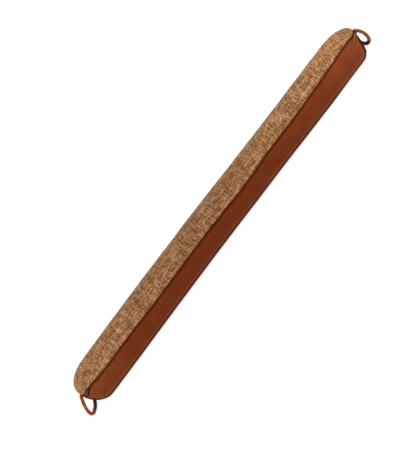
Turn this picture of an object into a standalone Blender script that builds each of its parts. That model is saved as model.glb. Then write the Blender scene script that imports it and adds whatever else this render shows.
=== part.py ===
"""A stuffed draught excluder, 0.9 m long, lying on a floor.

Two long panels, a woven one on top and a leather one below and in front, are sewn together by a seam
that runs along the front, round both drawn-in ends and back along the rear. Each panel is a solid with
its half of the filling. A rolled leather loop is sewn into the seam at each end.

Metres, +Z up. +X runs along the length, -Y is the front, and the origin is the middle of the flat underside.
"""

import math
from collections import namedtuple

import bmesh
import bpy
from mathutils import Vector

MM = 0.001

# Driving dimensions
BODY_LENGTH = 900 * MM  # tip to tip, without the loops
PRESSED_IN = 4.2 * MM  # how far the round section is pressed flat by the floor
PRESS_ROUNDING = 1.2 * MM  # the soft edge of that flat
SEAM_GAP = 0.3 * MM  # between the two panels
SEAM_DEPTH = 2.4 * MM  # how deep the seam pulls both panels in
SEAM_SPREAD = 0.11  # radians from the seam over which it does so
CORD_RADIUS = 3.5 * MM  # of the rolled leather loops
PINCHED_TO = 0.53  # of that radius, where the seam holds a loop's end
PINCH_LENGTH = 6 * MM

# Mesh steps
STEPS_ROUND_A_PANEL = 20  # from the front seam to the rear one
SEAM_CROWDING = 0.75  # how much closer these steps lie at the seams, from 0 to 1
STEPS_ACROSS_THE_SEAM_PLANE = 4
MIDDLE_STEPS = 28
END_STEPS = 13
END_ZONE = 76 * MM  # the stretch at each end where the steps crowd towards the tip
CORD_STEP = 3.4 * MM
CORD_SIDES_RESOLUTION = 2
SHARP_ANGLE = math.radians(60)  # edges bent by more than this stay sharp

# Finishes: a linear colour and a roughness
WOVEN_CLOTH = ((0.35, 0.17, 0.08), 0.95)
LEATHER = ((0.17, 0.038, 0.012), 0.55)
LOOP_LEATHER = ((0.27, 0.075, 0.022), 0.5)

# One row for each section of the body: its place along the length, its radius, how far it lies behind the
# straight line between the ends, and how far the front seam stands above the level through the centre.
Section = namedtuple("Section", "along_mm radius_mm behind_mm seam_deg")
SECTIONS = [
    Section(-450, 43.6, -2.8, 31.5),
    Section(-385, 44.0, -2.5, 27.5),
    Section(-305, 44.3, -1.3, 27.1),
    Section(-190, 43.9, 1.9, 25.0),
    Section(-75, 43.6, 4.0, 25.9),
    Section(5, 43.4, 3.4, 25.8),
    Section(85, 43.0, 2.3, 25.0),
    Section(165, 42.7, 2.0, 29.7),
    Section(245, 42.6, 1.2, 30.5),
    Section(325, 43.0, -0.5, 33.9),
    Section(385, 42.8, -0.1, 38.5),
    Section(450, 42.8, -0.5, 45.0),
]

# How each side closes towards a tip: over what length, and with what roundness (1 is straight, 2 is round).
# Across the seam the woven side closes slowly and the leather side bluntly; along it both share one outline.
Closing = namedtuple("Closing", "length_mm squareness roundness")
# One row for each end: the tip's height over the section's centre, the length over which the seam climbs
# to it, and the closings.
End = namedtuple("End", "tip_up_mm climb_mm woven leather seam")
LEFT_END = End(4.5, 13, Closing(65, 2.55, 2.4), Closing(41, 1.85, 1.8), Closing(54, 2.0, 1.85))
RIGHT_END = End(12.6, 18, Closing(63, 2.0, 2.7), Closing(44, 3.7, 0.98), Closing(58, 2.0, 1.7))

# One row for each gather where the leather and cloth are drawn into the end seams: the end (-1 is the left
# one), the distance from its tip, the turn round the section from the front seam (below 180 is cloth), the
# depth and the size of the hollow along and round the body.
Tuck = namedtuple("Tuck", "end from_tip_mm turn_deg deep_mm long_mm wide_deg")
TUCKS = [
    Tuck(-1, 13, 352, 3.2, 8, 9),
    Tuck(-1, 22, 320, 0.9, 16, 12),
    Tuck(-1, 16, 205, 1.6, 11, 13),
    Tuck(-1, 15, 22, 1.2, 10, 12),
    Tuck(-1, 20, 150, 1.2, 14, 14),
    Tuck(1, 13, 345, 1.8, 10, 11),
    Tuck(1, 20, 215, 1.6, 12, 14),
    Tuck(1, 14, 18, 1.4, 10, 11),
    Tuck(1, 24, 148, 1.1, 14, 14),
]

# The loops' routes, root to root, in millimetres.
LEFT_LOOP_MM = [
    (-452.0, -4.2, 42.2),
    (-453.7, -5.2, 39.6),
    (-456.5, -7.2, 35.4),
    (-460.0, -10.0, 30.4),
    (-464.1, -14.0, 23.1),
    (-466.8, -16.5, 15.0),
    (-466.9, -17.2, 8.3),
    (-463.3, -16.0, 3.9),
    (-458.3, -13.6, 4.2),
    (-450.5, -9.4, 6.2),
    (-444.1, -1.0, 8.7),
    (-440.7, 7.0, 10.5),
    (-441.4, 13.6, 15.4),
    (-444.2, 18.2, 21.6),
    (-445.7, 19.3, 26.0),
    (-444.9, 18.2, 29.2),
    (-442.8, 16.1, 31.1),
]
RIGHT_LOOP_MM = [
    (451.4, -2.8, 51.0),
    (453.2, -3.8, 48.7),
    (455.7, -4.6, 43.9),
    (458.3, -5.3, 36.0),
    (459.3, -5.5, 26.5),
    (458.3, -4.5, 17.7),
    (455.3, -2.5, 10.9),
    (450.8, 0.5, 7.4),
    (446.6, 3.9, 8.2),
    (444.0, 6.9, 10.6),
    (442.8, 10.3, 15.0),
    (442.5, 13.4, 20.3),
    (444.1, 15.9, 25.6),
    (446.0, 17.1, 30.2),
    (446.2, 16.2, 34.0),
    (444.15, 14.15, 36.2),
]


def smooth(share):
    return share * share * (3 - 2 * share)


def section_at(x):
    """The radius, the offset to the rear and the front seam's angle at a place along the body."""
    rows = [SECTIONS[0], *SECTIONS, SECTIONS[-1]]
    for first, low, high, last in zip(rows, rows[1:], rows[2:], rows[3:]):
        if x <= high.along_mm * MM:
            break
    span = high.along_mm - low.along_mm
    share = (x / MM - low.along_mm) / span
    mixed = []
    for column in ("radius_mm", "behind_mm", "seam_deg"):
        a, b, c, d = (getattr(row, column) for row in (first, low, high, last))
        leaving = span * (c - a) / (high.along_mm - first.along_mm)
        arriving = span * (d - b) / (last.along_mm - low.along_mm)
        mixed.append(
            b + (c - b) * smooth(share)
            + leaving * share * (1 - share) ** 2
            - arriving * share**2 * (1 - share)
        )
    radius_mm, behind_mm, seam_deg = mixed
    return radius_mm * MM, behind_mm * MM, math.radians(seam_deg)


def closed_by(closing, from_tip):
    """How wide a side is open at this distance from the tip, from 0 at the tip to 1."""
    left = max(1 - from_tip / (closing.length_mm * MM), 0)
    return (1 - left**closing.squareness) ** (1 / closing.roundness)


def tuck_depth(end_sign, from_tip, turn):
    depth = 0
    for tuck in TUCKS:
        if tuck.end != end_sign:
            continue
        along = (from_tip - tuck.from_tip_mm * MM) / (tuck.long_mm * MM)
        turned = math.degrees(turn) - tuck.turn_deg
        turned = (turned + 180) % 360 - 180
        depth += tuck.deep_mm * MM * math.exp(-(along**2) - (turned / tuck.wide_deg) ** 2)
    return depth


def pressed(z):
    """A height after the floor has pressed the body flat: never below the floor, with a soft edge."""
    if z <= -PRESS_ROUNDING:
        return 0
    if z < PRESS_ROUNDING:
        return (z + PRESS_ROUNDING) ** 2 / (4 * PRESS_ROUNDING)
    return z


def body_point(x, side, across, along_seam, radius, behind, seam_angle, climbed):
    """A point given by its offsets from the section's centre, towards the front seam and the cloth."""
    across += side * SEAM_GAP / 2
    y = behind - along_seam * math.cos(seam_angle) + across * math.sin(seam_angle)
    z = radius - PRESSED_IN + climbed + along_seam * math.sin(seam_angle) + across * math.cos(seam_angle)
    return Vector((x, y, pressed(z)))


def ring(x, side):
    """One panel's section: round the skin from the front seam to the rear, and back through the seam plane.

    side is 1 for the woven panel and -1 for the leather one.
    """
    end_sign = -1 if x < 0 else 1
    end = LEFT_END if x < 0 else RIGHT_END
    from_tip = max(BODY_LENGTH / 2 - abs(x), 0)
    radius, behind, seam_angle = section_at(x)
    closing = end.woven if side > 0 else end.leather
    open_seam = closed_by(end.seam, from_tip)
    open_side = closed_by(closing, from_tip)
    tip_up = end.tip_up_mm * MM
    climbed = tip_up * (1 - smooth(min(from_tip / (end.climb_mm * MM), 1)))
    # The outline closes towards the tip, while the seam inside it stays level until it climbs there.
    depth = radius * open_side + side * math.cos(seam_angle) * (tip_up * (1 - open_side) - climbed)

    def point(across, along_seam):
        return body_point(x, side, across, along_seam, radius, behind, seam_angle, climbed)

    points = []
    for step in range(STEPS_ROUND_A_PANEL + 1):
        share = step / STEPS_ROUND_A_PANEL
        share -= SEAM_CROWDING * math.sin(2 * math.pi * share) / (2 * math.pi)
        turn = math.pi * share
        from_seam = min(turn, math.pi - turn)
        pulled = SEAM_DEPTH * math.exp(-((from_seam / SEAM_SPREAD) ** 2))
        pulled += tuck_depth(end_sign, from_tip, side * turn)
        keep = 1 - pulled / radius
        points.append(
            point(
                side * depth * math.sin(turn) * keep,
                radius * open_seam * math.cos(turn) * keep,
            )
        )
    seam_reach = radius * open_seam * (1 - SEAM_DEPTH / radius)
    for step in range(1, STEPS_ACROSS_THE_SEAM_PLANE):
        share = step / STEPS_ACROSS_THE_SEAM_PLANE
        points.append(point(0, seam_reach * (2 * share - 1)))
    return points


def stations():
    """Places along the body, crowded towards the two tips, without the tips themselves."""
    half = BODY_LENGTH / 2
    ends = [half - END_ZONE * (step / END_STEPS) ** 2 for step in range(1, END_STEPS + 1)]
    reach = half - END_ZONE
    middle = [reach * (2 * step / MIDDLE_STEPS - 1) for step in range(1, MIDDLE_STEPS)]
    return [-x for x in ends] + middle + ends[::-1]


def material(name, colour, roughness):
    made = bpy.data.materials.new(name)
    made.use_nodes = True
    shader = made.node_tree.nodes["Principled BSDF"]
    shader.inputs["Base Color"].default_value = (*colour, 1)
    shader.inputs["Roughness"].default_value = roughness
    shader.inputs["Metallic"].default_value = 0
    return made


def panel(name, side, finish, collection):
    """A panel with its half of the filling: a loft along the body, closed at each tip by a fan."""
    shape = bmesh.new()
    rings = [[shape.verts.new(p) for p in ring(x, side)] for x in stations()]
    tips = [shape.verts.new(ring(x, side)[0]) for x in (-BODY_LENGTH / 2, BODY_LENGTH / 2)]
    for before, after in zip(rings, rings[1:]):
        for i in range(len(before)):
            j = (i + 1) % len(before)
            shape.faces.new((before[i], before[j], after[j], after[i]))
    for tip, last in zip(tips, (rings[0], rings[-1])):
        for i in range(len(last)):
            shape.faces.new((tip, last[i], last[(i + 1) % len(last)]))
    bmesh.ops.triangulate(shape, faces=[f for f in shape.faces if len(f.verts) > 3])
    bmesh.ops.recalc_face_normals(shape, faces=shape.faces)
    mesh = bpy.data.meshes.new(name)
    shape.to_mesh(mesh)
    shape.free()
    mesh.shade_smooth()
    mesh.set_sharp_from_angle(angle=SHARP_ANGLE)
    mesh.materials.append(finish)
    collection.objects.link(bpy.data.objects.new(name, mesh))


def smooth_route(points_mm):
    """The route's own points joined by a smooth curve, with points CORD_STEP apart."""
    knots = [Vector(p) * MM for p in points_mm]
    knots = [2 * knots[0] - knots[1], *knots, 2 * knots[-1] - knots[-2]]
    route = [knots[1]]
    for a, b, c, d in zip(knots, knots[1:], knots[2:], knots[3:]):
        steps = max(1, round((c - b).length / CORD_STEP))
        for step in range(1, steps + 1):
            t = step / steps
            bend = 2 * b + (c - a) * t + (2 * a - 5 * b + 4 * c - d) * t**2
            route.append((bend + (3 * b - a - 3 * c + d) * t**3) / 2)
    return route


def loop(name, points_mm, finish, collection):
    curve = bpy.data.curves.new(name, "CURVE")
    curve.dimensions = "3D"
    route = smooth_route(points_mm)
    spline = curve.splines.new("POLY")
    spline.points.add(len(route) - 1)
    length = CORD_STEP * (len(route) - 1)
    for i, (point, place) in enumerate(zip(spline.points, route)):
        point.co = (*place, 1)
        from_end = min(CORD_STEP * i, length - CORD_STEP * i)
        point.radius = PINCHED_TO + (1 - PINCHED_TO) * smooth(min(from_end / PINCH_LENGTH, 1))
    curve.bevel_depth = CORD_RADIUS
    curve.bevel_resolution = CORD_SIDES_RESOLUTION
    curve.use_fill_caps = True
    curve.materials.append(finish)
    collection.objects.link(bpy.data.objects.new(name, curve))


def main():
    for old in list(bpy.data.objects):
        bpy.data.objects.remove(old, do_unlink=True)
    collection = bpy.data.collections.new("draught_excluder")
    bpy.context.scene.collection.children.link(collection)
    cloth = material("woven_cloth", *WOVEN_CLOTH)
    leather = material("leather", *LEATHER)
    loop_leather = material("loop_leather", *LOOP_LEATHER)
    panel("woven_panel", 1, cloth, collection)
    panel("leather_panel", -1, leather, collection)
    loop("loop_left", LEFT_LOOP_MM, loop_leather, collection)
    loop("loop_right", RIGHT_LOOP_MM, loop_leather, collection)


main()
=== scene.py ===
"""Looks of the draught excluder: the filled cloth and leather halves, the loops and a plain studio.

Metres, +Z up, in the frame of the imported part. +X runs along the length and -Y is the front. The shape
functions repeat those of the part's source, and the detail is added on top of them.
"""

import math
from collections import namedtuple

import bpy
import numpy as np
from mathutils import Matrix, Vector


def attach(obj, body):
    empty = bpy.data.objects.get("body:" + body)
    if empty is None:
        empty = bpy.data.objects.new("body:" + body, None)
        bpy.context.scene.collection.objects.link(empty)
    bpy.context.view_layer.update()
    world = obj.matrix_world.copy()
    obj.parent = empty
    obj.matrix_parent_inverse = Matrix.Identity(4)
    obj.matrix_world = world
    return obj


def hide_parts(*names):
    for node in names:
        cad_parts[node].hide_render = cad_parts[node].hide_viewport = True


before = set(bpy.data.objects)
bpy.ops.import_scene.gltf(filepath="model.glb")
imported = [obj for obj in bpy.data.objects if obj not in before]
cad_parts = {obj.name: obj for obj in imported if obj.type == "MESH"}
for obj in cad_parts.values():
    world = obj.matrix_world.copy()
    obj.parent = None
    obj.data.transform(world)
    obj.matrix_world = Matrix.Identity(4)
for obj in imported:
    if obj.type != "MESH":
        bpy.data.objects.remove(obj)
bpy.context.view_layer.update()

MM = 0.001

# The body's shape, as in the part's source.
BODY_LENGTH = 900 * MM
PRESSED_IN = 4.2 * MM
PRESS_ROUNDING = 1.2 * MM
SEAM_GAP = 0.3 * MM
SEAM_DEPTH = 2.4 * MM
SEAM_SPREAD = 0.11  # of the groove along the seam, in radians round the body
STITCH_LINE_DEPTH = 0.9 * MM  # of the narrow line in the middle of that groove
STITCH_LINE_SPREAD = 0.035
WANDER = math.radians(0.55)  # how far a seam sewn by hand swings from its line
CORD_RADIUS = 3.5 * MM

Section = namedtuple("Section", "along_mm radius_mm behind_mm seam_deg")
SECTIONS = [
    Section(-450, 43.6, -2.8, 31.5),
    Section(-385, 44.0, -2.5, 27.5),
    Section(-305, 44.3, -1.3, 27.1),
    Section(-190, 43.9, 1.9, 25.0),
    Section(-75, 43.6, 4.0, 25.9),
    Section(5, 43.4, 3.4, 25.8),
    Section(85, 43.0, 2.3, 25.0),
    Section(165, 42.7, 2.0, 29.7),
    Section(245, 42.6, 1.2, 30.5),
    Section(325, 43.0, -0.5, 33.9),
    Section(385, 42.8, -0.1, 38.5),
    Section(450, 42.8, -0.5, 45.0),
]
Closing = namedtuple("Closing", "length_mm squareness roundness")
End = namedtuple("End", "tip_up_mm climb_mm woven leather seam")
LEFT_END = End(4.5, 13, Closing(65, 2.55, 2.4), Closing(41, 1.85, 1.8), Closing(54, 2.0, 1.85))
RIGHT_END = End(12.6, 18, Closing(63, 2.0, 2.7), Closing(44, 3.7, 0.98), Closing(58, 2.0, 1.7))

Tuck = namedtuple("Tuck", "end from_tip_mm turn_deg deep_mm long_mm wide_deg")
TUCKS = [
    Tuck(-1, 13, 352, 3.2, 8, 9),
    Tuck(-1, 22, 320, 0.9, 16, 12),
    Tuck(-1, 16, 205, 1.6, 11, 13),
    Tuck(-1, 15, 22, 1.2, 10, 12),
    Tuck(-1, 20, 150, 1.2, 14, 14),
    Tuck(1, 13, 345, 1.8, 10, 11),
    Tuck(1, 20, 215, 1.6, 12, 14),
    Tuck(1, 14, 18, 1.4, 10, 11),
    Tuck(1, 24, 148, 1.1, 14, 14),
]

# Where the seam swings up or down (below 0) near the ends, as the cloth and the leather are eased together.
Swing = namedtuple("Swing", "end from_tip_mm up_mm long_mm")
SWINGS = [
    Swing(-1, 34, 2.0, 9),
    Swing(-1, 19, 1.6, 8),
    Swing(-1, 8, -2.7, 5),
    Swing(1, 6.5, -3.5, 7.5),
    Swing(1, 22, 1.3, 8),
    Swing(1, 41, -0.9, 7),
]

# Folds and creases on the ends: how far they stand out (or sink, below 0), how wide they are, how much
# painted shade they lay in the skin (or take away, below 0), and their path, by its points' distances from
# the tip and the seam.
Fold = namedtuple("Fold", "side end high_mm wide_mm dark path_mm")
FOLDS = [
    Fold(
        -1, -1, -2.4, 1.9, 1.3,
        [(27, 1.5), (22, 3.6), (18, 5.4), (14.3, 6.6), (11.1, 7.6), (7.6, 7.3), (4.5, 7.2)],
    ),
    Fold(-1, -1, 1.9, 1.9, -0.1, [(15, 1.9), (11, 3.2), (7, 3.4), (4, 3.0)]),
    Fold(-1, -1, 0.9, 1.6, 0.0, [(20, 6.5), (14, 9.6), (9, 11.5)]),
    Fold(-1, -1, -0.8, 1.3, 0.35, [(4, 10), (8, 14), (14, 18), (20, 20)]),
    Fold(-1, -1, -0.7, 1.2, 0.3, [(3, 13), (7, 19), (13, 26), (20, 31)]),
    Fold(-1, 1, 2.8, 4.5, -0.5, [(1.5, 3), (3.5, 10)]),
    Fold(-1, 1, -0.9, 1.3, 0.35, [(12, 4.5), (17, 7), (24, 9)]),
    Fold(-1, 1, -0.9, 1.2, 0.4, [(7, 8), (12, 12), (19, 15), (27, 17)]),
    Fold(-1, 1, -0.8, 1.2, 0.3, [(5, 12), (10, 18), (16, 24), (24, 29)]),
    Fold(-1, 1, 1.9, 4.5, 0.0, [(15.5, 44), (18, 45), (22, 47)]),
    Fold(1, -1, -0.7, 1.6, 0.2, [(4, 6), (9, 9), (17, 11)]),
    Fold(1, 1, -0.7, 1.6, 0.2, [(3, 5), (7, 10), (13, 16)]),
]

LEFT_LOOP_MM = [
    (-452.0, -4.2, 42.2),
    (-453.7, -5.2, 39.6),
    (-456.5, -7.2, 35.4),
    (-460.0, -10.0, 30.4),
    (-464.1, -14.0, 23.1),
    (-466.8, -16.5, 15.0),
    (-466.9, -17.2, 8.3),
    (-463.3, -16.0, 3.9),
    (-458.3, -13.6, 4.2),
    (-450.5, -9.4, 6.2),
    (-444.1, -1.0, 8.7),
    (-440.7, 7.0, 10.5),
    (-441.4, 13.6, 15.4),
    (-444.2, 18.2, 21.6),
    (-445.7, 19.3, 26.0),
    (-444.9, 18.2, 29.2),
    (-442.8, 16.1, 31.1),
]
RIGHT_LOOP_MM = [
    (451.4, -2.8, 51.0),
    (453.2, -3.8, 48.7),
    (455.7, -4.6, 43.9),
    (458.3, -5.3, 36.0),
    (459.3, -5.5, 26.5),
    (458.3, -4.5, 17.7),
    (455.3, -2.5, 10.9),
    (450.8, 0.5, 7.4),
    (446.6, 3.9, 8.2),
    (444.0, 6.9, 10.6),
    (442.8, 10.3, 15.0),
    (442.5, 13.4, 20.3),
    (444.1, 15.9, 25.6),
    (446.0, 17.1, 30.2),
    (446.2, 16.2, 34.0),
    (444.15, 14.15, 36.2),
]

# Steps of the detailed meshes
END_ZONE = 76 * MM
END_STEPS = 76
MIDDLE_STEPS = 580
CLOTH_STEPS_ROUND = 122
LEATHER_STEPS_ROUND = 96
CROWDING = 0.55  # how much closer the steps lie at the seams, from 0 to 1
WALL_STEPS = 8
ALLOWANCE = 0.13 * MM  # how far the turned-in cloth and leather reach into the gap between the halves


# ---------------------------------------------------------------- noise


def faded(share):
    """A share from 0 to 1 with soft ends."""
    return share * share * (3 - 2 * share)


def ramped(value, start, length):
    """0 up to the start and 1 from a length beyond it, with soft ends."""
    return faded(np.clip((value - start) / length, 0, 1))


def bell(value, middle, width, power=2):
    """1 in the middle, and next to nothing from two widths off."""
    return np.exp(-(((value - middle) / width) ** power))


def lattice_noise(a, b, seed):
    """Smooth noise from -1 to 1 with one random value at each whole step of a and b."""
    low_a, low_b = np.floor(a).astype(int), np.floor(b).astype(int)
    table = np.random.default_rng(seed).uniform(-1, 1, (256, 256))
    share_a, share_b = faded(a - low_a), faded(b - low_b)

    def at(i, j):
        return table[(low_a + i) % 256, (low_b + j) % 256]

    near = at(0, 0) * (1 - share_a) + at(1, 0) * share_a
    far = at(0, 1) * (1 - share_a) + at(1, 1) * share_a
    return near * (1 - share_b) + far * share_b


def cloudy(a, b, seed):
    """Noise from -1 to 1 in three octaves, each finer and weaker than the one before."""
    weights = [1, 0.5, 0.25]
    total = 0
    for octave, weight in enumerate(weights):
        total = total + weight * lattice_noise(a * 2**octave, b * 2**octave, seed + octave)
    return total / sum(weights)


# ---------------------------------------------------------------- the body's shape


def section_at(x):
    """The radius, the offset to the rear and the front seam's angle at places along the body."""
    rows = np.array([SECTIONS[0], *SECTIONS, SECTIONS[-1]], dtype=float)
    i = np.clip(np.searchsorted(rows[1:-1, 0], x / MM), 1, len(SECTIONS) - 1)
    first, low, high, last = rows[i - 1], rows[i], rows[i + 1], rows[i + 2]
    span = (high[:, 0] - low[:, 0])[:, None]
    share = (x[:, None] / MM - low[:, :1]) / span
    leaving = span * (high - first) / (high[:, :1] - first[:, :1])
    arriving = span * (last - low) / (last[:, :1] - low[:, :1])
    mixed = low + (high - low) * faded(share)
    mixed += leaving * share * (1 - share) ** 2 - arriving * share**2 * (1 - share)
    return mixed[:, 1] * MM, mixed[:, 2] * MM, np.radians(mixed[:, 3])


def by_end(x, read):
    """A value that differs between the two ends."""
    return np.where(x < 0, read(LEFT_END), read(RIGHT_END))


def closed_by(x, read, from_tip):
    """How wide a side is open at this distance from the tip, from 0 at the tip to 1."""
    left = np.maximum(1 - from_tip / (by_end(x, lambda e: read(e).length_mm) * MM), 0)
    open_power = 1 - left ** by_end(x, lambda e: read(e).squareness)
    return open_power ** (1 / by_end(x, lambda e: read(e).roundness))


def tuck_depth(x, from_tip, turn):
    depth = np.zeros(np.broadcast_shapes(x.shape, turn.shape))
    for tuck in TUCKS:
        along = (from_tip - tuck.from_tip_mm * MM) / (tuck.long_mm * MM)
        turned = (np.degrees(turn) - tuck.turn_deg + 180) % 360 - 180
        hollow = tuck.deep_mm * MM * np.exp(-(along**2) - (turned / tuck.wide_deg) ** 2)
        depth += np.where(x * tuck.end > 0, hollow, 0)
    return depth


def pressed(z):
    """Heights after the floor has pressed the body flat: never below the floor, with a soft edge."""
    soft = (z + PRESS_ROUNDING) ** 2 / (4 * PRESS_ROUNDING)
    return np.where(z <= -PRESS_ROUNDING, 0, np.where(z < PRESS_ROUNDING, soft, z))


def seam_swing(x, from_tip):
    """How far the seam swings up near the ends."""
    up = np.zeros_like(x)
    for swing in SWINGS:
        along = (from_tip - swing.from_tip_mm * MM) / (swing.long_mm * MM)
        up += np.where(x * swing.end > 0, swing.up_mm * MM * np.exp(-(along**2)), 0)
    return up * ramped(from_tip, 0, 3 * MM)


def seam_wander(x):
    """The small sideways swings of a seam sewn by hand, in radians."""
    swing = lattice_noise(x / (38 * MM), np.zeros_like(x), 11)
    swing += 0.5 * lattice_noise(x / (15 * MM), np.zeros_like(x), 12)
    return WANDER * swing * ramped(BODY_LENGTH / 2 - np.abs(x), 0, 60 * MM)


class Body:
    """The sections at given stations, from which any point on a panel's skin follows."""

    def __init__(self, x, side):
        self.x, self.side = x, side
        self.from_tip = np.maximum(BODY_LENGTH / 2 - np.abs(x), 0)
        self.radius, self.behind, seam = section_at(x)
        self.seam = seam + seam_wander(x)
        side_of = (lambda e: e.woven) if side > 0 else (lambda e: e.leather)
        self.open_seam = closed_by(x, lambda e: e.seam, self.from_tip)
        open_side = closed_by(x, side_of, self.from_tip)
        tip_up = by_end(x, lambda e: e.tip_up_mm) * MM
        climb = by_end(x, lambda e: e.climb_mm) * MM
        self.climbed = tip_up * (1 - faded(np.minimum(self.from_tip / climb, 1)))
        self.climbed += seam_swing(x, self.from_tip)
        lift = np.cos(self.seam) * (tip_up * (1 - open_side) - self.climbed)
        self.depth = self.radius * open_side + side * lift

    def place(self, across, along_seam):
        """Points from their offsets from the sections' centres, before the floor presses them."""
        cos, sin = np.cos(self.seam)[:, None], np.sin(self.seam)[:, None]
        across = across + self.side * SEAM_GAP / 2
        x = np.broadcast_to(self.x[:, None], across.shape)
        y = self.behind[:, None] - along_seam * cos + across * sin
        z = (self.radius - PRESSED_IN + self.climbed)[:, None] + along_seam * sin + across * cos
        return np.stack([x, y, z], axis=-1)

    def skin(self, turn, pulled_in):
        """The skin's points at these turns from the front seam, pulled in by these depths."""
        keep = 1 - pulled_in / self.radius[:, None]
        across = self.side * self.depth[:, None] * np.sin(turn) * keep
        along_seam = (self.radius * self.open_seam)[:, None] * np.cos(turn) * keep
        return self.place(across, along_seam)


def stations():
    """Places along the body, crowded towards the two tips."""
    half = BODY_LENGTH / 2
    ends = half - END_ZONE * (np.arange(END_STEPS + 1) / END_STEPS) ** 2
    reach = half - END_ZONE
    middle = reach * (2 * np.arange(1, MIDDLE_STEPS) / MIDDLE_STEPS - 1)
    return np.concatenate([-ends, middle, ends[::-1]])


def turns(steps):
    """Turns from the front seam to the rear one, crowded towards both."""
    share = np.arange(steps + 1) / steps
    return math.pi * (share - CROWDING * np.sin(2 * math.pi * share) / (2 * math.pi))


def run_of(points, axis, start):
    """The distance along the skin in one direction of the grid, from a given row."""
    steps = np.linalg.norm(np.diff(points, axis=axis), axis=-1)
    total = np.cumsum(steps, axis=axis)
    total = np.concatenate([np.zeros_like(total.take([0], axis=axis)), total], axis=axis)
    return total - total.take([start], axis=axis)


def outward(points, side):
    """The skin's outward normals."""
    along, around = np.gradient(points, axis=0), np.gradient(points, axis=1)
    normal = side * np.cross(along, around)
    length = np.linalg.norm(normal, axis=-1, keepdims=True)
    return normal / np.maximum(length, 1e-12)


Skin = namedtuple("Skin", "body turn from_seam run across points normal")


def bare_skin(side, steps_round):
    """The panel's smooth skin, with the distances that the detail is laid out by."""
    body = Body(stations(), side)
    turn = turns(steps_round)[None, :]
    from_seam = np.minimum(turn, math.pi - turn)
    pulled = SEAM_DEPTH * bell(from_seam, 0, SEAM_SPREAD)
    pulled = pulled + STITCH_LINE_DEPTH * bell(from_seam, 0, STITCH_LINE_SPREAD)
    pulled = pulled + tuck_depth(body.x[:, None], body.from_tip[:, None], side * turn)
    points = body.skin(turn, pulled)
    run = run_of(points, 0, len(body.x) // 2)
    across = run_of(points, 1, steps_round // 2)
    seam_way = np.minimum(across - across[:, :1], across[:, -1:] - across)
    return Skin(body, turn, seam_way, run, across, points, outward(points, side))


def mesh_piece(name, points, faces, attributes, finish):
    """A smooth mesh object with its point attributes and its material."""
    mesh = bpy.data.meshes.new(name)
    mesh.from_pydata(points.tolist(), [], faces)
    for key, values in attributes.items():
        vector = values.ndim == 2
        made = mesh.attributes.new(key, "FLOAT_VECTOR" if vector else "FLOAT", "POINT")
        made.data.foreach_set("vector" if vector else "value", values.reshape(-1).astype(np.float32))
    mesh.update()
    mesh.shade_smooth()
    mesh.materials.append(finish)
    made = bpy.data.objects.new(name, mesh)
    bpy.context.scene.collection.objects.link(made)
    return made


def tube_quads(count, around):
    """The faces between a number of rings of points, each joined round to its start."""
    i, j = np.meshgrid(np.arange(count - 1), np.arange(around), indexing="ij")
    after = (j + 1) % around
    corners = [i * around + j, i * around + after, (i + 1) * around + after, (i + 1) * around + j]
    return np.stack(corners, -1).reshape(-1, 4)


def flat_rows(rings):
    """The rings between the two tips as one list of points, then one point for each tip."""
    inner = rings[1:-1].reshape(-1, *rings.shape[2:])
    return np.concatenate([inner, rings[:1].mean(axis=1), rings[-1:].mean(axis=1)])


def panel(name, skin, raised, attributes, finish):
    """A closed mesh: the skin raised by these heights, and the wall through the plane of the seam."""
    points = skin.points + skin.normal * raised[..., None]
    front, rear = points[:, 0], points[:, -1]
    shares = np.arange(1, WALL_STEPS) / WALL_STEPS
    wall = rear[:, None] + (front - rear)[:, None] * shares[None, :, None]
    cos, sin = np.cos(skin.body.seam), np.sin(skin.body.seam)
    wall -= (skin.body.side * ALLOWANCE * np.stack([0 * cos, sin, cos], axis=-1))[:, None]
    rings = np.concatenate([points, wall], axis=1)
    rings[..., 2] = pressed(rings[..., 2])
    count, around = len(rings) - 2, rings.shape[1]
    quads = tube_quads(count, around)
    j = np.arange(around)
    after = (j + 1) % around
    first = np.stack([np.full(around, count * around), after, j], -1)
    last = np.stack([np.full(around, count * around + 1), j, after], -1)
    last[:, 1:] += (count - 1) * around
    way = 1 if skin.body.side > 0 else -1
    faces = [face[::way] for tier in (quads, first, last) for face in tier.tolist()]
    flat = {}
    for key, values in attributes.items():
        at_wall = np.repeat(values[:, -1:], WALL_STEPS - 1, axis=1)
        flat[key] = flat_rows(np.concatenate([values, at_wall], axis=1))
    return mesh_piece(name, flat_rows(rings), faces, flat, finish)


# ---------------------------------------------------------------- materials


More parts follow.
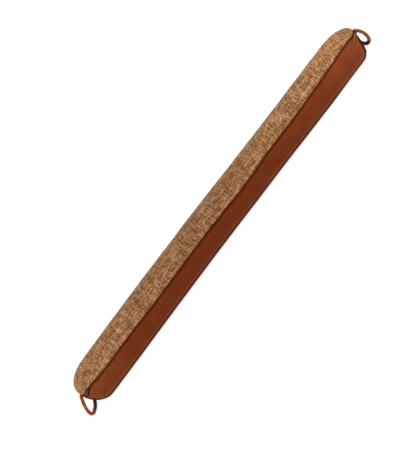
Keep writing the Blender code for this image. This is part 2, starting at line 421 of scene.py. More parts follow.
class Nodes:
    """A material's node tree, with short calls for what repeats."""

    def __init__(self, name, **shader_values):
        self.material = bpy.data.materials.new(name)
        self.material.use_nodes = True
        self.tree = self.material.node_tree
        self.shader = self.tree.nodes["Principled BSDF"]
        for socket, value in shader_values.items():
            self.shader.inputs[socket.replace("_", " ")].default_value = value

    def put(self, socket, value):
        if isinstance(value, bpy.types.NodeSocket):
            self.tree.links.new(value, socket)
        else:
            socket.default_value = value

    def node(self, kind, **settings):
        made = self.tree.nodes.new(kind)
        for key, value in settings.items():
            setattr(made, key, value)
        return made

    def math(self, operation, *values):
        made = self.node("ShaderNodeMath", operation=operation)
        for socket, value in zip(made.inputs, values):
            self.put(socket, value)
        return made.outputs[0]

    def attribute(self, name, output="Fac"):
        return self.node("ShaderNodeAttribute", attribute_name=name).outputs[output]

    def stretched(self, vector, scale):
        made = self.node("ShaderNodeVectorMath", operation="MULTIPLY")
        self.put(made.inputs[0], vector)
        made.inputs[1].default_value = scale
        return made.outputs[0]

    def noise(self, vector, scale=1.0, detail=2.0, roughness=0.5):
        made = self.node("ShaderNodeTexNoise")
        self.put(made.inputs["Vector"], vector)
        made.inputs["Scale"].default_value = scale
        made.inputs["Detail"].default_value = detail
        made.inputs["Roughness"].default_value = roughness
        return made.outputs["Fac"]

    def between(self, value, low, high, to_low=0.0, to_high=1.0):
        made = self.node("ShaderNodeMapRange", clamp=True)
        for socket, given in zip(made.inputs, (value, low, high, to_low, to_high)):
            self.put(socket, given)
        return made.outputs[0]

    def ramp(self, value, *stops):
        """stops are (place, linear colour) from low to high."""
        made = self.node("ShaderNodeValToRGB")
        self.put(made.inputs[0], value)
        elements = made.color_ramp.elements
        while len(elements) < len(stops):
            elements.new(0.5)
        for element, (place, colour) in zip(elements, stops):
            element.position = place
            element.color = (*colour, 1)
        return made.outputs[0]

    def mix(self, share, a, b):
        made = self.node("ShaderNodeMix", data_type="RGBA")
        self.put(made.inputs["Factor"], share)
        self.put(made.inputs[6], a)
        self.put(made.inputs[7], b)
        return made.outputs[2]

    def finish(self, colour, height, distance, strength, roughness=None):
        self.put(self.shader.inputs["Base Color"], colour)
        if roughness is not None:
            self.put(self.shader.inputs["Roughness"], roughness)
        bump = self.node("ShaderNodeBump")
        bump.inputs["Strength"].default_value = strength
        bump.inputs["Distance"].default_value = distance
        self.put(bump.inputs["Height"], height)
        self.put(self.shader.inputs["Normal"], bump.outputs[0])
        return self.material


SHEEN = (1.0, 0.62, 0.35)
CLOTH_SHADE = (0.08, 0.022, 0.010)  # painted shade on the cloth, in the seam's groove and in creases
THREAD_PITCH = 1.8 * MM
SLOW_SWINGS, QUICK_SWINGS = 45.0, 210.0  # of the threads off their lines, for each metre
SLOW_SWING, QUICK_SWING = 1.6, 0.5  # how wide those are, in pitches
APART = 3.7  # between the threads in the noise that they read, so that each has its own
YARN_WIDTH, SLUB_WIDTH = 0.92, 1.5  # of the pitch, and what a slub adds
YARN_RISE, SLUB_RISE = 0.5, 1.1
THREAD_TONES = 0.62  # how much the yarns differ from each other
KNOT_TONES = 0.45  # how much each crossing differs from the next
FIBRE_TONES = 0.4
RISE_TONES = 0.5  # painted light and shade: how much paler the yarn is where it stands high, and darker in the gaps
PATCH_TONES = 0.24
SLUB_TONES = 0.12
FIBRES, PATCHES = 1500.0, 30.0  # for each metre of the cloth

# the nearly black colour of the deepest painted shade
DEEP_SHADE = (0.008, 0.004, 0.003)
HIGH_TONE_GAINS = (1.17, 1.37, 1.66)  # gains on a hide's colour where its tone is high, from its cloudy tone and from painted light
TOP_TONE_GAINS = (1.5, 2.0, 2.6)  # and where its tone is highest, from painted light and the cloudy tone
DEEPENED = 0.82  # and the same gain for all three channels where its tone is lowest
CLOUDS, FLECKS = 24.0, 420.0  # for each metre of the hide
CLOUD_TONES, FLECK_TONES = 0.55, 0.35


def woven_finish():
    """A plain weave of uneven yarn: each thread keeps its own tone for a while, and slubs stand out.

    The mesh gives the place along and across the threads, where the cloth is thick, its painted light and
    shade, and its painted shade along the seam and in creases. The yarn is painted paler where it stands
    high and darker in the gaps."""
    n = Nodes("woven_cloth", Roughness=0.95, Specular_IOR_Level=0.03, Sheen_Weight=0.16, Sheen_Roughness=0.5)
    n.shader.inputs["Sheen Tint"].default_value = (*SHEEN, 1)
    place = n.attribute("threads", "Vector")
    split = n.node("ShaderNodeSeparateXYZ")
    n.put(split.inputs[0], place)
    run, across = split.outputs[0], split.outputs[1]
    slow = n.math("SUBTRACT", n.noise(place, SLOW_SWINGS, 1.0), 0.5)
    quick = n.math("SUBTRACT", n.noise(place, QUICK_SWINGS, 1.0), 0.5)
    wander = n.math("MULTIPLY_ADD", slow, SLOW_SWING, n.math("MULTIPLY", quick, QUICK_SWING))
    a = n.math("ADD", n.math("DIVIDE", run, THREAD_PITCH), wander)
    b = n.math("SUBTRACT", n.math("DIVIDE", across, THREAD_PITCH), wander)
    number_a, number_b = n.math("ROUND", a), n.math("ROUND", b)

    def along_thread(number, along, step, seed):
        """Noise that runs along each thread on its own."""
        own = n.node("ShaderNodeCombineXYZ")
        n.put(own.inputs[0], n.math("MULTIPLY", along, step))
        n.put(own.inputs[1], n.math("MULTIPLY", number, APART))
        own.inputs[2].default_value = seed
        return n.math("SUBTRACT", n.noise(own.outputs[0], 1.0, 2.0, 0.6), 0.5)

    def one_way(cross, number, along, sign, step):
        """Height and tone of the threads that run one way; cross counts threads, along their length."""
        slub = along_thread(number, along, step, 31.0 * sign)
        wide = n.math("MULTIPLY_ADD", slub, SLUB_WIDTH, YARN_WIDTH)
        off = n.math("DIVIDE", n.math("MULTIPLY", n.math("SUBTRACT", cross, number), 2.0), wide)
        arch = n.math("SQRT", n.math("MAXIMUM", n.math("SUBTRACT", 1.0, n.math("MULTIPLY", off, off)), 0.0))
        over = n.math("COSINE", n.math("MULTIPLY", along, math.pi))
        parity = n.math("COSINE", n.math("MULTIPLY", number, math.pi))
        over = n.math("MULTIPLY", n.math("MULTIPLY", over, parity), 0.5 * sign)
        rise = n.math("ADD", n.math("MULTIPLY_ADD", slub, SLUB_RISE, YARN_RISE), over)
        tone = n.math("MULTIPLY_ADD", slub, 0.4, along_thread(number, along, step, 10.0 * sign))
        return n.math("MULTIPLY", arch, rise), n.between(tone, -0.17, 0.17, -0.5, 0.5)

    warp_height, warp_tone = one_way(b, number_b, a, 1.0, 0.07)
    weft_height, weft_tone = one_way(a, number_a, b, -1.0, 0.09)
    on_top = n.between(n.math("SUBTRACT", warp_height, weft_height), -0.12, 0.12)
    # A yarn that stands out in tone also shows a little where it passes under, through the open weave.
    stands_out = n.math("SUBTRACT", n.math("ABSOLUTE", warp_tone), n.math("ABSOLUTE", weft_tone))
    shows = n.math("MULTIPLY_ADD", n.between(stands_out, -0.1, 0.1), 0.5, n.math("MULTIPLY", on_top, 0.5))
    weft_shows = n.math("MULTIPLY", weft_tone, n.math("SUBTRACT", 1.0, shows))
    tone = n.math("MULTIPLY_ADD", warp_tone, shows, weft_shows)
    height = n.math("MAXIMUM", warp_height, weft_height)
    cell = n.node("ShaderNodeCombineXYZ")
    n.put(cell.inputs[0], number_a)
    n.put(cell.inputs[1], number_b)
    knot = n.node("ShaderNodeTexWhiteNoise", noise_dimensions="2D")
    n.put(knot.inputs["Vector"], cell.outputs[0])
    fibre = n.noise(place, FIBRES, 2.0, 0.7)
    patch = n.math("SUBTRACT", n.noise(place, PATCHES, 2.0), 0.5)
    lightness = n.math("MULTIPLY_ADD", tone, THREAD_TONES, 0.5)
    lightness = n.math("MULTIPLY_ADD", n.math("SUBTRACT", knot.outputs["Value"], 0.5), KNOT_TONES, lightness)
    lightness = n.math("MULTIPLY_ADD", n.math("SUBTRACT", fibre, 0.5), FIBRE_TONES, lightness)
    # Painted light and shade of the weave: paler where the yarn stands high, darker in the gaps.
    lightness = n.math("MULTIPLY_ADD", n.math("SUBTRACT", height, 0.6), RISE_TONES, lightness)
    lightness = n.math("MULTIPLY_ADD", patch, PATCH_TONES, lightness)
    lightness = n.math("MULTIPLY_ADD", n.attribute("slub"), SLUB_TONES, lightness)
    # Painted light and shade from the mesh.
    lightness = n.math("ADD", n.attribute("painted_light_and_shade"), lightness)
    colour = n.ramp(
        lightness,
        (0.0, (0.076, 0.027, 0.0085)),
        (0.35, (0.165, 0.071, 0.028)),
        (0.62, (0.285, 0.134, 0.058)),
        (1.0, (0.52, 0.312, 0.150)),
    )
    # Painted shade in the seam's groove and in the creases.
    colour = n.mix(n.attribute("painted_cloth_shade"), colour, (*CLOTH_SHADE, 1))
    bump_height = n.math("MULTIPLY_ADD", fibre, 0.25, height)
    return n.finish(colour, bump_height, 0.5 * MM, 0.8)


def leather_finish(name, base, dark, pores_a_metre, roughness, streaks):
    """Smooth leather: a faint grain and cloudy colour, with painted light and shade from the mesh.

    The mesh lightens the hide with painted light, darkens it with painted shade and makes it nearly black
    with deeper painted shade."""
    n = Nodes(name, Specular_IOR_Level=0.02)
    place = n.attribute("hide", "Vector")
    cloud = n.noise(place, CLOUDS, 3.0, 0.55)
    fleck = n.noise(place, FLECKS, 2.0, 0.6)
    drawn = n.noise(n.stretched(place, (260.0, 40.0, 40.0)), 1.0, 2.0, 0.5)
    grain = n.node("ShaderNodeTexVoronoi", feature="SMOOTH_F1")
    n.put(grain.inputs["Vector"], place)
    grain.inputs["Scale"].default_value = pores_a_metre
    grain.inputs["Smoothness"].default_value = 0.4
    even = n.math("MULTIPLY_ADD", cloud, CLOUD_TONES, 0.5 - CLOUD_TONES / 2)
    tone = n.math("MULTIPLY_ADD", n.math("SUBTRACT", fleck, 0.5), FLECK_TONES, even)
    tone = n.math("MULTIPLY_ADD", n.math("SUBTRACT", drawn, 0.5), streaks, tone)
    # Painted light from the mesh.
    tone = n.math("ADD", tone, n.attribute("painted_light"))
    light = tuple(gain * c for gain, c in zip(HIGH_TONE_GAINS, base))
    deep = tuple(DEEPENED * c for c in base)
    bright = tuple(gain * c for gain, c in zip(TOP_TONE_GAINS, base))
    colour = n.ramp(tone, (0.2, deep), (0.5, base), (0.7, light), (1.0, bright))
    # Painted shade from the mesh, in the colour given as dark.
    colour = n.mix(n.attribute("painted_shade"), colour, (*dark, 1))
    # Nearly black painted shade from the mesh.
    colour = n.mix(n.attribute("painted_deep_shade"), colour, (*DEEP_SHADE, 1))
    pores = n.between(grain.outputs["Distance"], 0.1, 0.75, 1.0, 0.0)
    height = n.math("MULTIPLY_ADD", fleck, 0.4, pores)
    rough = n.between(fleck, 0.2, 0.8, roughness - 0.05, roughness + 0.07)
    return n.finish(colour, height, 0.10 * MM, 0.55, rough)


# ---------------------------------------------------------------- the skin's detail

LUMP_HIGH = 0.55 * MM  # of the filling's slow unevenness
LUMP_LONG = 62 * MM
LUMP_WIDE = 48 * MM
PUCKER_HIGH = 0.34 * MM  # of the small folds that a seam draws in
PUCKER_LONG = 6.5 * MM
PUCKER_REACH = 6 * MM
STITCH_HIGH = 0.10 * MM
STITCH_PITCH = 4 * MM
STITCH_REACH = 1.6 * MM
SLUB_HIGH = 0.20 * MM
# Painted light and shade on the skin are laid out in bands by how far it faces this fixed direction.
BANDS_UP = math.radians(30)
FRONT_WAY = np.array([0.0, -math.cos(BANDS_UP), math.sin(BANDS_UP)])


def stuffed(skin, seed):
    """The slow unevenness of the filling, and the small puckers that a seam draws into a full skin."""
    off_tip = ramped(skin.body.from_tip[:, None], 0, 30 * MM)
    lumps = LUMP_HIGH * cloudy(skin.run / LUMP_LONG, skin.across / LUMP_WIDE + 9, seed)
    lumps = lumps * ramped(skin.from_seam, 0, 22 * MM) * off_tip
    rear = np.zeros_like(skin.run) + (skin.turn > math.pi / 2)
    drawn = lattice_noise(skin.run / PUCKER_LONG, rear, seed + 5)
    puckers = PUCKER_HIGH * drawn * np.exp(-skin.from_seam / PUCKER_REACH)
    sewn = np.cos(2 * math.pi * skin.run / STITCH_PITCH)
    stitches = STITCH_HIGH * sewn * np.exp(-skin.from_seam / STITCH_REACH)
    return lumps + (puckers + stitches) * off_tip


def gathers(skin, seed, deep, reach, count):
    """Fine folds that run from a tip into the skin, where its length is eased into the end seam."""
    from_tip = skin.body.from_tip[:, None]
    way = deep * bell(from_tip, 0, reach) * ramped(from_tip, 0, 5 * MM)
    along = from_tip / (26 * MM) + 40 * (skin.body.x[:, None] > 0)
    return way * lattice_noise(skin.turn * count / math.pi, along, seed)


def near_path(a, b, path_mm):
    """How far points are from a path in one plane, and how far along it from its nearer end."""
    path = np.array(path_mm) * MM
    lengths = np.linalg.norm(np.diff(path, axis=0), axis=1)
    off, inward, run = np.full(a.shape, np.inf), np.zeros(a.shape), 0
    for start, end, length in zip(path, path[1:], lengths):
        way = (end - start) / length
        along = np.clip((a - start[0]) * way[0] + (b - start[1]) * way[1], 0, length)
        here = np.hypot(a - start[0] - along * way[0], b - start[1] - along * way[1])
        from_end = np.minimum(run + along, lengths.sum() - run - along)
        inward = np.where(here < off, from_end, inward)
        off = np.minimum(off, here)
        run += length
    return off, inward


def folded(skin):
    """The heights of the named folds and creases on this half, and the painted shade that they lay on it."""
    height, dark = np.zeros(skin.run.shape), np.zeros(skin.run.shape)
    from_tip = np.broadcast_to(skin.body.from_tip[:, None], skin.run.shape)
    in_front = skin.turn < math.pi / 2
    for fold in FOLDS:
        if fold.side != skin.body.side:
            continue
        off, inward = near_path(from_tip, skin.from_seam, fold.path_mm)
        share = bell(off, 0, fold.wide_mm * MM) * faded(np.clip(0.25 + inward / (4 * MM), 0, 1))
        share = share * (in_front & (skin.body.x[:, None] * fold.end > 0))
        height += fold.high_mm * MM * share
        dark += fold.dark * share
    return height, dark


def slubs(skin):
    """Thick places in the yarn along the body and across it, from 0 to 1."""
    along = lattice_noise(skin.run / (15 * MM), skin.across / (2.6 * MM), 31)
    across = lattice_noise(skin.run / (2.6 * MM), skin.across / (13 * MM), 47)
    thick = np.maximum(along, across)
    return ramped(thick, 0.2, 0.75)


def laid_flat(skin):
    """Places on the skin by the distance along it and across it."""
    return np.stack([skin.run, skin.across, np.zeros_like(skin.run)], axis=-1)


# ---------------------------------------------------------------- the cloth half

# Painted shade in the cloth's seam groove: how dark, and how wide.
SEAM_SHADE = 0.7
SEAM_SHADE_WIDTH = 1.2 * MM
# Painted light and shade on the cloth: paler on top, darker in front, and paler along the seam.
PALER_ON_TOP = 0.17
PALER_UNDER = 0.48  # where the skin faces FRONT_WAY by less than this
PALER_RANGE = 0.20
PALER_AT_SEAM = 0.06
PALER_WIDTH = 11 * MM

cloth_skin = bare_skin(1, CLOTH_STEPS_ROUND)
slub = slubs(cloth_skin)
cloth_folds, cloth_crease_shade = folded(cloth_skin)
cloth_raised = stuffed(cloth_skin, 100) + gathers(cloth_skin, 120, deep=0.45 * MM, reach=30 * MM, count=15)
cloth_raised += cloth_folds
cloth_raised += SLUB_HIGH * slub * ramped(cloth_skin.from_seam, 0, 2 * MM)
# Painted shade along the seam's groove; the creases' painted shade is added to it below.
painted_cloth_shade = SEAM_SHADE * bell(cloth_skin.from_seam, 0, SEAM_SHADE_WIDTH)
# Painted light and shade: the cloth is a little paler on top than in front, and again along the seam.
painted_light_and_shade = PALER_ON_TOP * np.clip(PALER_UNDER - cloth_skin.normal @ FRONT_WAY, -1, PALER_RANGE)
painted_light_and_shade += PALER_AT_SEAM * bell(cloth_skin.from_seam, 0, PALER_WIDTH)
cloth_marks = {
    "threads": laid_flat(cloth_skin),
    "slub": slub,
    "painted_cloth_shade": np.clip(painted_cloth_shade + cloth_crease_shade, 0, 1),
    "painted_light_and_shade": painted_light_and_shade,
}
cloth = panel("cloth_half", cloth_skin, cloth_raised, cloth_marks, woven_finish())

# ---------------------------------------------------------------- the leather half

EDGE_WIDTH = 3.7 * MM  # of the painted shade below the seam, in its groove, measured along the skin
EDGE_FADE = 2.2 * MM
EDGE_UNEVEN = 0.7 * MM
EDGE_RIDGE = 0.5 * MM  # how far the skin stands out where the turned-in edge ends below it
EDGE_RIDGE_AT = 3.8 * MM
FULLER = 0.6 * MM  # how much the front stands out just above the floor
WRINKLE_HIGH = 0.16 * MM
WRINKLES_ROUND = 46
WRINKLE_LONG = 9 * MM
WRINKLE_REACH = 15 * MM
WRINKLES_END = math.radians(120)  # of the turn from the front seam, beyond which the skin has none
BANDS_END = math.radians(110)  # the same for the painted shade of the rim and the painted light above it
RIM_LEAST, RIM_MOST = 0.02, 0.30  # how far the skin faces FRONT_WAY within the rim of painted shade
# How nearly black the rim's painted shade is, and how far above it the band of painted light lies, by
# facing.
RIM_BLACK = 0.50
BAND_ABOVE_RIM = 0.20
CRESTS_PALE = 0.30  # painted light along the wrinkles' crests, and painted shade between them
REACH_PALE = 0.27  # painted light towards both tips

# How the leather's two ends differ: how far each reaches from the tip, how much broader and blacker the
# rim's painted shade is there, how strongly the wrinkles' painted light and shade show, how much paler the
# tip is painted, and how far from it the painted light reaches.
Hide = namedtuple("Hide", "end_mm rim_more black_more wrinkle_tones tip_pale pale_mm")
LEFT_HIDE = Hide(40, 0.04, -0.03, 0.6, 0.0, 80)
RIGHT_HIDE = Hide(30, 0.20, 0.34, 1.0, 0.36, 110)

leather_skin = bare_skin(-1, LEATHER_STEPS_ROUND)
leather_folds, leather_crease_shade = folded(leather_skin)
from_tip = leather_skin.body.from_tip[:, None]
from_seam = leather_skin.from_seam
at_right = leather_skin.body.x[:, None] > 0
in_front = leather_skin.turn < math.pi / 2
banded = leather_skin.turn < BANDS_END
facing = leather_skin.normal @ FRONT_WAY
hide = Hide(*(np.where(at_right, right, left) for left, right in zip(LEFT_HIDE, RIGHT_HIDE)))

wrinkles_round = leather_skin.turn * WRINKLES_ROUND / math.pi
wrinkles = lattice_noise(wrinkles_round + 60 * at_right, from_tip / WRINKLE_LONG, 231)
wrinkles = wrinkles * bell(from_tip, 0, WRINKLE_REACH) * (leather_skin.turn < WRINKLES_END)
leather_raised = stuffed(leather_skin, 200)
leather_raised += gathers(leather_skin, 220, deep=0.4 * MM, reach=26 * MM, count=10)
leather_raised += leather_folds
leather_raised += EDGE_RIDGE * bell(from_seam, EDGE_RIDGE_AT, 1.6 * MM) * ramped(from_tip, 0, 20 * MM)
leather_raised += FULLER * bell(facing, -0.05, 0.35) * ramped(from_tip, 0, 60 * MM) * in_front
leather_raised += WRINKLE_HIGH * wrinkles

# The painted shade below the seam narrows towards both tips, at the left one because the fold below it takes
# its place.
left_share = ramped(leather_skin.body.x[:, None] + BODY_LENGTH / 2, 13 * MM, 12 * MM)
right_share = ramped(BODY_LENGTH / 2 - leather_skin.body.x[:, None], 6 * MM, 26 * MM)
edge_width = EDGE_WIDTH * (0.3 + 0.7 * left_share) * (0.5 + 0.5 * right_share)
uneven = EDGE_UNEVEN * lattice_noise(leather_skin.run / (9 * MM), 0 * leather_skin.run, 61)
painted_shade = 1 - ramped(from_seam + uneven, edge_width, EDGE_FADE)

# Painted shade: the skin darkens to a narrow rim where it turns in below, away from FRONT_WAY, and to a
# broader one round the two ends, nearly black in part, with a painted shadow at the right end of the seam
# and in the deepest creases.
near_end = bell(from_tip, 0, hide.end_mm * MM, 4)
rim_from = RIM_MOST + near_end * hide.rim_more
rim = 1 - ramped(facing, rim_from, 0.12)
rim = rim * ramped(facing, RIM_LEAST, 0.16) * banded
rim = rim * ramped(from_seam, 0, 4 * MM)
painted_deep_shade = rim * (RIM_BLACK + near_end * hide.black_more)
seam_end = bell(from_tip, 12 * MM, 13 * MM, 4) * at_right
painted_deep_shade = np.maximum(painted_deep_shade, 0.75 * painted_shade * seam_end * in_front)
painted_deep_shade = np.maximum(painted_deep_shade, 0.6 * faded(np.clip(leather_crease_shade - 0.3, 0, 1)))

# Painted light: it is paler on the wrinkles' crests (and darker between them), towards the tips and in a
# band above the rim.
painted_light = CRESTS_PALE * wrinkles * hide.wrinkle_tones
towards_tip = hide.tip_pale * bell(from_tip, 0, 16 * MM) + REACH_PALE * bell(from_tip, 0, hide.pale_mm * MM)
painted_light = painted_light + towards_tip
painted_light = painted_light + (0.30 + 0.14 * near_end) * bell(facing - rim_from, BAND_ABOVE_RIM, 0.09) * banded
leather_marks = {
    "hide": laid_flat(leather_skin),
    "painted_shade": np.clip(np.maximum(painted_shade, rim) + leather_crease_shade, 0, 1),
    "painted_deep_shade": np.clip(painted_deep_shade, 0, 1),
    "painted_light": painted_light,
}
hide_finish = leather_finish(
    "leather",
    base=(0.124, 0.0235, 0.0054),
    dark=(0.072, 0.0100, 0.0032),
    pores_a_metre=900.0,
    roughness=0.58,
    streaks=0.25,
)
leather = panel("leather_half", leather_skin, leather_raised, leather_marks, hide_finish)

# ---------------------------------------------------------------- the loops

LOOP_SIDES = 32
LOOP_STEP = 0.55 * MM
LOOP_FULLER = 0.1 * MM  # than the part's plain cord
CURVE_POINTS = 60  # between two points of the route, before it is divided into equal steps
INTO_SEAM = 3.5 * MM  # how far the visible loop goes on into the seam, about
LAP_TURN = 2 * math.pi / (34 * MM)  # how fast the lapped edge winds round the loop
LAP_START = 2.2  # where it begins, in radians from the loop's outer side
LAP_STEP = 0.28 * MM  # of the upper layer over the lower one
GROOVE_DEEP = 0.55 * MM  # along the lapped edge
GROOVE_WIDE = 0.16  # in radians round the loop, as the next two
LAP_FADE = 0.9
SEWN_FROM_LAP = 0.42
LOOP_STITCH_PITCH = 3.2 * MM
LOOP_STITCH_DEEP = 0.22 * MM
ROOT_PINCH = 0.05  # of the loop's thickness, where the seam holds it
ROOT_LENGTH = 7 * MM
TWIST_TURNS = 5  # of the streaks in one turn round the loop
TWIST_PITCH = 2.7 * MM  # between the streaks, along the loop
STREAK_PITCH, FINE_STREAK_PITCH = 2.9 * MM, 1.5 * MM
STREAK_LONG = 21 * MM
STREAK_HIGH = 0.2 * MM
SHADED_FROM = 0.42  # of the loop's length, from where on it is darkened with painted shade, under and behind the body


def smooth_route(points, step):
    """Points a step apart on a Catmull-Rom curve through these points, and their distances along it."""
    rows = np.array([2 * points[0] - points[1], *points, 2 * points[-1] - points[-2]])
    fine = []
    for a, b, c, d in zip(rows, rows[1:], rows[2:], rows[3:]):
        t = np.linspace(0, 1, CURVE_POINTS, endpoint=False)[:, None]
        bend = (2 * a - 5 * b + 4 * c - d) * t**2 + (3 * b - a - 3 * c + d) * t**3
        fine.append(0.5 * (2 * b + (c - a) * t + bend))
    fine = np.concatenate([*fine, rows[-2:-1]])
    run = np.concatenate([[0], np.cumsum(np.linalg.norm(np.diff(fine, axis=0), axis=1))])
    wanted = np.linspace(0, run[-1], max(int(run[-1] / step), 8))
    return np.stack([np.interp(wanted, run, fine[:, k]) for k in range(3)], axis=1), wanted


def ways_out(route, angle):
    """The directions out of a route at these angles from the loop's outer side."""
    tangent = np.gradient(route, axis=0)
    tangent /= np.linalg.norm(tangent, axis=1, keepdims=True)
    out = route - route.mean(axis=0)
    out -= (out * tangent).sum(1, keepdims=True) * tangent
    out /= np.linalg.norm(out, axis=1, keepdims=True)
    aside = np.cross(tangent, out)
    return out[:, None] * np.cos(angle)[None, :, None] + aside[:, None] * np.sin(angle)[None, :, None]


def loop_marks(run, angle, ways, groove, twisting, streak):
    """The loop's place on the hide and its painted light and shade: painted shade inside, below, in the
    lap's groove and along its later part, and dark and pale streaks along the twist.
    """
    inner = faded(np.clip(0.35 - 0.9 * np.cos(angle), 0, 1))[None, :]
    below = faded(np.clip(0.5 - 0.9 * ways[..., 2], 0, 1))
    in_front = faded(np.clip(0.8 - 1.1 * ways[..., 1], 0, 1))
    shaded = ramped(run / run[-1], SHADED_FROM, 0.10)[:, None]
    twist = np.cos(2 * math.pi * (run[:, None] / TWIST_PITCH + twisting + 0.35 * streak))
    twisted = faded(np.clip(0.12 - 0.8 * twist - 0.4 * streak, 0, 1))
    # Painted shade inside the loop, below it, in the lap's groove and on its later part, and dark streaks
    # along the twist.
    dark = 0.40 * inner + 0.25 * below + 0.5 * groove / GROOVE_DEEP + 1.1 * twisted
    dark += shaded * (0.6 + 0.4 * below)
    # Nearly black painted shade on the later part where it faces down and to the front, and inside the loop
    # where it faces down.
    painted_deep_shade = shaded * in_front * faded(np.clip(0.85 - 0.9 * ways[..., 2], 0, 1))
    painted_deep_shade += 0.35 * inner * below + 0.30 * inner**2
    round_it = np.broadcast_to(angle * CORD_RADIUS, dark.shape)
    place = [np.broadcast_to(run[:, None], dark.shape), round_it, 0 * dark]
    return {
        "hide": np.stack(place, -1).reshape(-1, 3),
        "painted_shade": np.clip(dark, 0, 0.95).reshape(-1),
        "painted_deep_shade": np.clip(painted_deep_shade, 0, 0.95).reshape(-1),
        "painted_light": (0.16 * twist + 0.16 * streak).reshape(-1),
    }


def loop(name, route_mm, into_seam_mm, finish):
    """A strip of leather rolled round and sewn along its lap, with both ends caught in the seam."""
    points = [np.array(p) * MM for p in route_mm]
    first_end, last_end = (np.array(step) * MM for step in into_seam_mm)
    route, run = smooth_route([points[0] + first_end, *points, points[-1] + last_end], LOOP_STEP)
    along = run[:, None]
    angle = 2 * math.pi * np.arange(LOOP_SIDES) / LOOP_SIDES
    ways = ways_out(route, angle)
    lap = (angle[None, :] - LAP_START - LAP_TURN * along + math.pi) % (2 * math.pi) - math.pi
    groove = GROOVE_DEEP * bell(lap, 0, GROOVE_WIDE)
    step_up = LAP_STEP * np.exp(-np.maximum(lap, 0) / LAP_FADE) * (lap > 0)
    sewn = np.cos(2 * math.pi * along / LOOP_STITCH_PITCH) > 0.1
    stitch = LOOP_STITCH_DEEP * bell(lap, SEWN_FROM_LAP, GROOVE_WIDE) * sewn
    twisting = TWIST_TURNS * ((lap % (2 * math.pi)) / (2 * math.pi))
    streak = lattice_noise(along / STREAK_PITCH + twisting, along / STREAK_LONG, 83)
    streak = streak + 0.5 * lattice_noise(along / FINE_STREAK_PITCH + twisting, 0 * lap, 84)
    from_end = np.minimum(run, run[-1] - run) - INTO_SEAM
    swell = 1 - ROOT_PINCH * (1 - ramped(from_end, 0, ROOT_LENGTH))
    radius = CORD_RADIUS + LOOP_FULLER + step_up - groove - stitch + STREAK_HIGH * streak
    skin = route[:, None] + ways * (radius * swell[:, None])[..., None]
    count = len(route)
    faces = tube_quads(count, LOOP_SIDES).tolist()
    faces.append(list(range(LOOP_SIDES))[::-1])
    faces.append(list(range((count - 1) * LOOP_SIDES, count * LOOP_SIDES)))
    marks = loop_marks(run, angle, ways, groove, twisting, streak)
    return mesh_piece(name, skin.reshape(-1, 3), faces, marks, finish)


loop_finish = leather_finish(
    "loop_leather",
    base=(0.30, 0.082, 0.022),
    dark=(0.055, 0.020, 0.008),
    pores_a_metre=1200.0,
    roughness=0.48,
    streaks=0.4,
)
left_loop = loop("sewn_loop_left", LEFT_LOOP_MM, [(3.2, 1.6, 0.4), (4.0, -2.5, 1.5)], loop_finish)
right_loop = loop("sewn_loop_right", RIGHT_LOOP_MM, [(-3.2, 0.8, -0.6), (-4.0, -2.5, 1.5)], loop_finish)

for piece, node, slot_name in (
    (cloth, "woven_panel", "woven_cloth"),
    (leather, "leather_panel", "leather"),
    (left_loop, "loop_left", "loop_leather"),
    (right_loop, "loop_right", "loop_leather"),
):
    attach(piece, "root")
    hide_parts(node)

# ---------------------------------------------------------------- studio and camera

WORLD_STRENGTH = 0.52
FLOOR_HALF = 30.0
FLOOR_BELOW = 0.2 * MM  # the part's underside
FLOOR_TONE = 0.45
FLOOR_GLOW = 0.76

scene = bpy.context.scene
scene.view_settings.view_transform = "Standard"
scene.view_settings.look = "None"
scene.view_settings.exposure = 0.0

world = bpy.data.worlds.new("studio")
world.use_nodes = True
background = world.node_tree.nodes["Background"]
background.inputs["Color"].default_value = (1.0, 1.0, 1.0, 1)
background.inputs["Strength"].default_value = WORLD_STRENGTH
scene.world = world

floor_mesh = bpy.data.meshes.new("floor")
corners = [(-1, -1), (1, -1), (1, 1), (-1, 1)]
spots = [(x * FLOOR_HALF, y * FLOOR_HALF, -FLOOR_BELOW) for x, y in corners]
floor_mesh.from_pydata(spots, [], [(0, 1, 2, 3)])
floor = bpy.data.objects.new("floor", floor_mesh)
scene.collection.objects.link(floor)
floor_paint = Nodes("pale_floor", Roughness=0.9, Specular_IOR_Level=0.1)
floor_paint.shader.inputs["Base Color"].default_value = (FLOOR_TONE, FLOOR_TONE, FLOOR_TONE, 1)
floor_paint.shader.inputs["Emission Color"].default_value = (1.0, 1.0, 1.0, 1)
floor_paint.shader.inputs["Emission Strength"].default_value = FLOOR_GLOW
floor_mesh.materials.append(floor_paint.material)


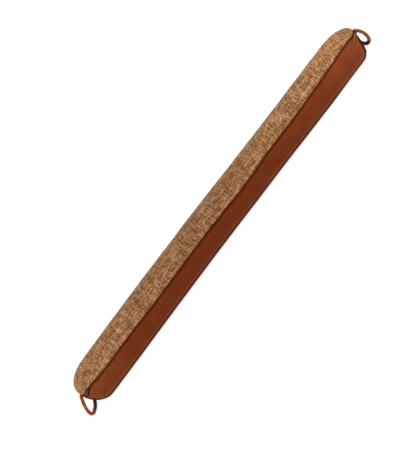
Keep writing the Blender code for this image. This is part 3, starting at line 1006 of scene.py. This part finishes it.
def softbox(name, place, aim, width, height, power):
    """A soft light that the camera doesn't see."""
    light = bpy.data.lights.new(name, "AREA")
    light.shape = "RECTANGLE"
    light.size, light.size_y, light.energy = width, height, power
    made = bpy.data.objects.new(name, light)
    made.visible_camera = False
    made.location = place
    made.rotation_mode = "QUATERNION"
    made.rotation_quaternion = (Vector(aim) - Vector(place)).to_track_quat("-Z", "Y")
    scene.collection.objects.link(made)


softbox("key", (0.28, -0.9, 2.3), (0.0, 0, 0), 2.4, 1.8, 4.85)
softbox("front", (0.0, -2.2, 0.8), (0, 0, 0.04), 2.6, 1.0, 2.4)
softbox("left_end", (-0.50, -0.26, 0.42), (-0.40, 0, 0.04), 0.35, 0.35, 1.75)
softbox("right_end", (0.45, -0.26, 0.42), (0.35, 0, 0.04), 0.35, 0.35, 2.3)

# The camera stands far off in front and above, and is rolled so that the excluder lies across the picture.
PIXEL = 1.978 * MM  # of the photograph, at the object
ELEVATION = math.radians(30)
ROLL = math.radians(52.74)
DISTANCE = 6.0
FRAME_HEIGHT = 450
MIDDLE = Vector((-1.7 * PIXEL, 0, 0.0395))  # the point of the body that the middle of its picture shows
OFF_MIDDLE = (10.53, 8.83)  # pixels from that point to the middle of the picture
ahead = Vector((0, math.cos(ELEVATION), -math.sin(ELEVATION)))
upright = Vector((0, math.sin(ELEVATION), math.cos(ELEVATION)))
right = math.cos(ROLL) * Vector((1, 0, 0)) - math.sin(ROLL) * upright
up = math.sin(ROLL) * Vector((1, 0, 0)) + math.cos(ROLL) * upright
target = MIDDLE - (OFF_MIDDLE[0] * right + OFF_MIDDLE[1] * up) * PIXEL
lens = bpy.data.cameras.new("camera")
lens.sensor_width = 36.0
lens.lens = lens.sensor_width * DISTANCE / (FRAME_HEIGHT * PIXEL)
lens.clip_end = 100.0
camera = bpy.data.objects.new("camera", lens)
turned = Matrix((right, up, -ahead)).transposed()
camera.matrix_world = Matrix.Translation(target - DISTANCE * ahead) @ turned.to_4x4()
scene.collection.objects.link(camera)
scene.camera = camera
